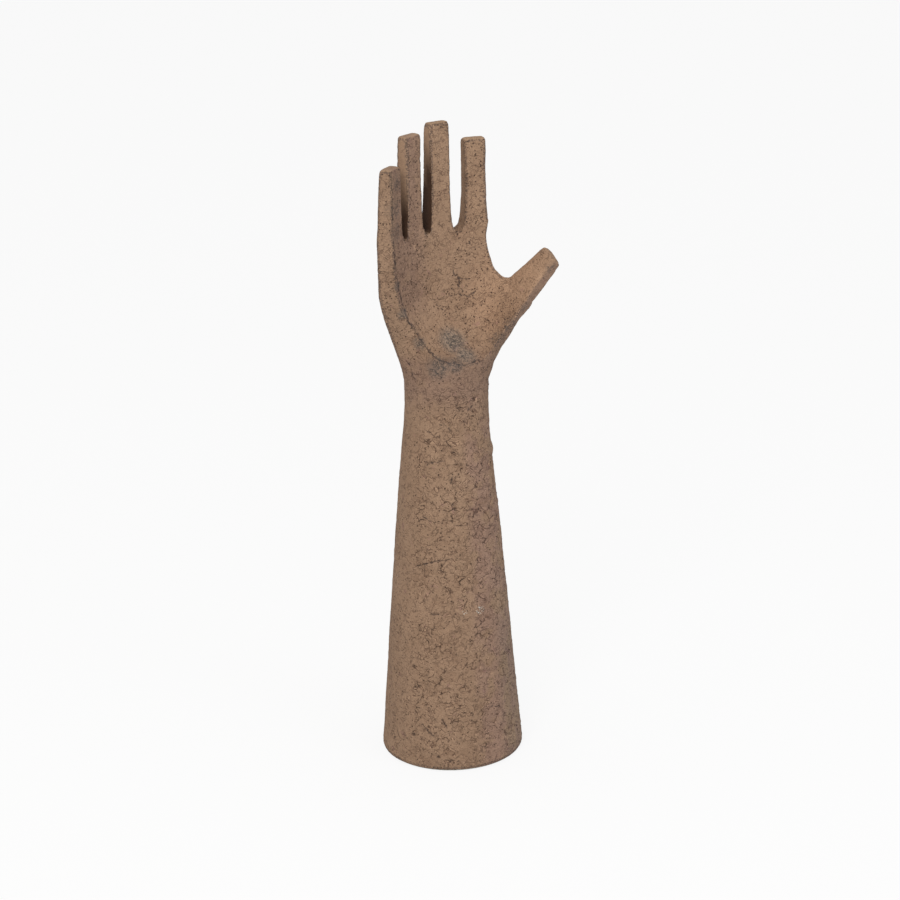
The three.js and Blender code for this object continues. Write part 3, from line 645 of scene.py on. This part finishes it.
# Two chips in the forearm show small white grains, and one of them has a dark corner.
across = shift(tree, "DOT_PRODUCT", place, tuple(level_right), output="Value")
in_view = ramp(tree, shift(tree, "DOT_PRODUCT", facing, tuple(level_ahead), output="Value"),
               -0.2, -0.5)
seen_at = layer(tree, "ShaderNodeCombineXYZ", 0, {0: across, 1: 0.0, 2: height})
grains = ramp(tree, cells(tree, place, 1.3, "Distance"), 0.42, 0.28)
for centre, size, colour in (((9.4, 0, 121.7), 1.9, (0.05, 0.045, 0.04, 1)),
                             ((11.0, 0, 123.8), 2.2, (0.60, 0.56, 0.50, 1)),
                             ((22.5, 0, 123.8), 3.6, (0.60, 0.56, 0.50, 1))):
    chip = close_to(tree, seen_at, centre, size, size / 2)
    chip = work(tree, "MULTIPLY", work(tree, "MULTIPLY", chip, in_view), grains)
    tone = blend(tree, chip, tone, colour)

# The fingers' inner sides are brown with grime and painted shade, most of all low in the slots.
low_down = work(tree, "SUBTRACT", height, ramp(tree, sideways, -26, -14, 0, 24))
deep = work(tree, "MULTIPLY", ramp(tree, low_down, 445, 416), ramp(tree, sideways, 12, 6))
inward = shift(tree, "LENGTH", from_axis, output="Value")
inward = work(tree, "MAXIMUM", ramp(tree, inward, 90, 84, 0.45, 1.0),
              ramp(tree, low_down, 424, 408))
deep = work(tree, "MULTIPLY", deep, inward)
grime = work(tree, "MULTIPLY", in_slot, work(tree, "MULTIPLY", deep, 0.93))
# A little painted shade on the index finger's inner sides.
index_side = work(tree, "MULTIPLY", in_slot, ramp(tree, sideways, 14, 18, 0.0, 0.18))
tone = blend(tree, work(tree, "MAXIMUM", grime, index_side), tone, (0.030, 0.011, 0.004, 1))

# Painted shade, duller and pinker, on the palm's left side, below the palm and along the strip
# under the thumb, and painted light, paler and warmer, on the thumb and heel.
# Painted light on the forward-turned faces of the palm and digits.
front = ramp(tree, turned, -0.6, -0.3)
lighter = work(tree, "MULTIPLY", front, ramp(tree, height, 304, 330))
tone = tint(tree, lighter, tone, (1.07, 1.065, 1.06))
cool_shade = work(tree, "MULTIPLY", ramp(tree, sideways, -8, -24), ramp(tree, height, 330, 365))
cool_shade = work(tree, "MULTIPLY", cool_shade, front)
under_palm = work(tree, "MULTIPLY", ramp(tree, height, 268, 292), ramp(tree, height, 322, 306))
strip_way = shift(tree, "DOT_PRODUCT", facing, (0.50, -0.35, -0.79), output="Value")
strip = work(tree, "MULTIPLY", ramp(tree, strip_way, 0.3, 0.6), ramp(tree, sideways, 16, 26))
strip = work(tree, "MULTIPLY", strip, ramp(tree, height, 312, 322))
patchy = ramp(tree, mottle(tree, place, 8, 2), 0.3, 0.5, 0.5, 1.0)
cool_shade = work(tree, "MULTIPLY", work(tree, "MAXIMUM", cool_shade, under_palm), patchy)
cool_shade = work(tree, "MAXIMUM", cool_shade, strip)
tone = tint(tree, cool_shade, tone, (0.86, 0.85, 0.92))
heel_light = close_to(tree, place, (46, -26, 352), 46, 22)
heel_light = work(tree, "MULTIPLY", heel_light, work(tree, "SUBTRACT", 1.0, strip))
tone = tint(tree, heel_light, tone, (1.13, 1.11, 1.10))

# Blue-grey stains in the lip of the palm, at its heel and just below it, each a web of cracks.
WEB_SPACING = 2.3
web = cells(tree, hair_place, WEB_SPACING, "Distance", "DISTANCE_TO_EDGE")
web = work(tree, "MULTIPLY", web, WEB_SPACING)
web = ramp(tree, web, 0.4, 0.12)
web = work(tree, "MULTIPLY", web, ramp(tree, mottle(tree, place, 3), 0.35, 0.5))
for patches, wash, strength, web_strength in (
        (((-2, -13, 323, 15), (2, -25, 316, 11)), (0.250, 0.205, 0.165, 1), 0.55, 0.85),
        (((-21, -23, 309, 12), (-30, -12, 326, 7), (-41, -9, 350, 6), (-10, -29, 311, 9),
          (-46, -12, 372, 5)), (0.125, 0.115, 0.105, 1), 0.30, 0.85),
        (((-45, -9, 446, 11), (-46, -9, 428, 12), (-46, -9, 410, 11), (29, -28, 322, 10),
          (37, -32, 332, 10), (47, -36, 344, 7), (66, -42, 373, 6)),
         (0.180, 0.135, 0.105, 1), 0.10, 0.65)):
    stain = None
    for *centre, size in patches:
        patch = close_to(tree, place, centre, size, size / 4)
        stain = patch if stain is None else work(tree, "MAXIMUM", stain, patch)
    tone = blend(tree, work(tree, "MULTIPLY", stain, strength), tone, wash)
    tone = blend(tree, work(tree, "MULTIPLY", stain, work(tree, "MULTIPLY", web, web_strength)),
                 tone, (0.060, 0.052, 0.048, 1))
tree.links.new(tone, shader.inputs["Base Color"])
clay.data.materials.append(crusted)

# The skin is cut flat at the foot and parted in the glue lines at the wrist, the knuckles and the
# thumb, so that each piece stands for its own solid. Both sides of a cut keep the same edge, so no
# seam shows.
MOST_TRIANGLES = 194000
FEWEST_POINTS = 900
CUT_EXACTNESS = 0.000001
FOOT_HEIGHT = 0.0014
THUMB_ROOT = (0.0494, -0.0292, 0.3629)
WHOLE_WIDTH, THUMB_WIDTH = 0.1, 0.021
wrist_height = (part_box("forearm_shell")[1][2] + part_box("palm")[0][2]) / 2
knuckle_height = (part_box("palm")[1][2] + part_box("index_finger")[0][2]) / 2
foot_cut = (Vector((0, 0, FOOT_HEIGHT)), Vector((0, 0, 1)), WHOLE_WIDTH)
wrist_cut = (Vector((0, 0, wrist_height)), Vector((0, 0, 1)), WHOLE_WIDTH)
knuckle_cut = (Vector((0, 0, knuckle_height)), Vector((0, 0, 1)), WHOLE_WIDTH)
thumb_cut = (Vector(THUMB_ROOT), Vector(THUMB_WAY).normalized(), THUMB_WIDTH)
bpy.ops.object.mode_set(mode="EDIT")
bpy.ops.mesh.select_all(action="SELECT")
bpy.ops.mesh.bisect(plane_co=foot_cut[0], plane_no=-foot_cut[1], clear_outer=True,
                    threshold=CUT_EXACTNESS)
bpy.ops.object.mode_set(mode="OBJECT")
for point, way, reach in (wrist_cut, knuckle_cut, thumb_cut):
    for face in clay.data.polygons:
        face.select = (face.center - point).length < reach
    bpy.ops.object.mode_set(mode="EDIT")
    bpy.ops.mesh.select_mode(type="FACE")
    bpy.ops.mesh.bisect(plane_co=point, plane_no=way, threshold=CUT_EXACTNESS)
    bpy.ops.mesh.edge_split(type="EDGE")
    bpy.ops.mesh.select_all(action="DESELECT")
    bpy.ops.object.mode_set(mode="OBJECT")
bpy.ops.object.mode_set(mode="EDIT")
bpy.ops.mesh.select_all(action="SELECT")
bpy.ops.mesh.separate(type="LOOSE")
bpy.ops.object.mode_set(mode="OBJECT")
pieces = {}
for part in list(bpy.context.selected_objects):
    if len(part.data.vertices) < FEWEST_POINTS:
        bpy.data.objects.remove(part)
        continue
    low, high = part.bound_box[0], part.bound_box[6]
    if high[2] < wrist_height + 0.001:
        name = "forearm_shell"
    elif low[2] > knuckle_height - 0.001:
        twice_middle = low[0] + high[0]
        name = min(FINGERS, key=lambda d: abs(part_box(d)[0][0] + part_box(d)[1][0] - twice_middle))
    elif low[0] > 0.03:
        name = "thumb"
    else:
        name = "palm"
    pieces.setdefault(name, []).append(part)
for name, parts in pieces.items():
    bpy.ops.object.select_all(action="DESELECT")
    for part in parts:
        part.select_set(True)
    piece = parts[0]
    bpy.context.view_layer.objects.active = piece
    if len(parts) > 1:
        bpy.ops.object.join()
    piece.name = name + "_clay"
    for point, way, _ in (foot_cut, wrist_cut, knuckle_cut, thumb_cut):
        bpy.ops.object.mode_set(mode="EDIT")
        bpy.ops.mesh.select_mode(type="EDGE")
        bpy.ops.mesh.select_all(action="DESELECT")
        bpy.ops.mesh.select_non_manifold()
        bpy.ops.object.mode_set(mode="OBJECT")
        places = [v.co for v in piece.data.vertices]
        for edge in piece.data.edges:
            edge.select = edge.select and all(
                abs((places[k] - point).dot(way)) < SAME_POINT for k in edge.vertices)
        if any(edge.select for edge in piece.data.edges):
            bpy.ops.object.mode_set(mode="EDIT")
            bpy.ops.mesh.mark_sharp()
            bpy.ops.mesh.fill(use_beauty=True)
            bpy.ops.object.mode_set(mode="OBJECT")
    triangles = len(piece.data.loops) - 2 * len(piece.data.polygons)
    if triangles > MOST_TRIANGLES:
        finish_with(piece, "DECIMATE", ratio=MOST_TRIANGLES / triangles)
    bpy.ops.object.shade_smooth()
    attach(piece, "root")
    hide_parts(name)

bpy.context.view_layer.update()
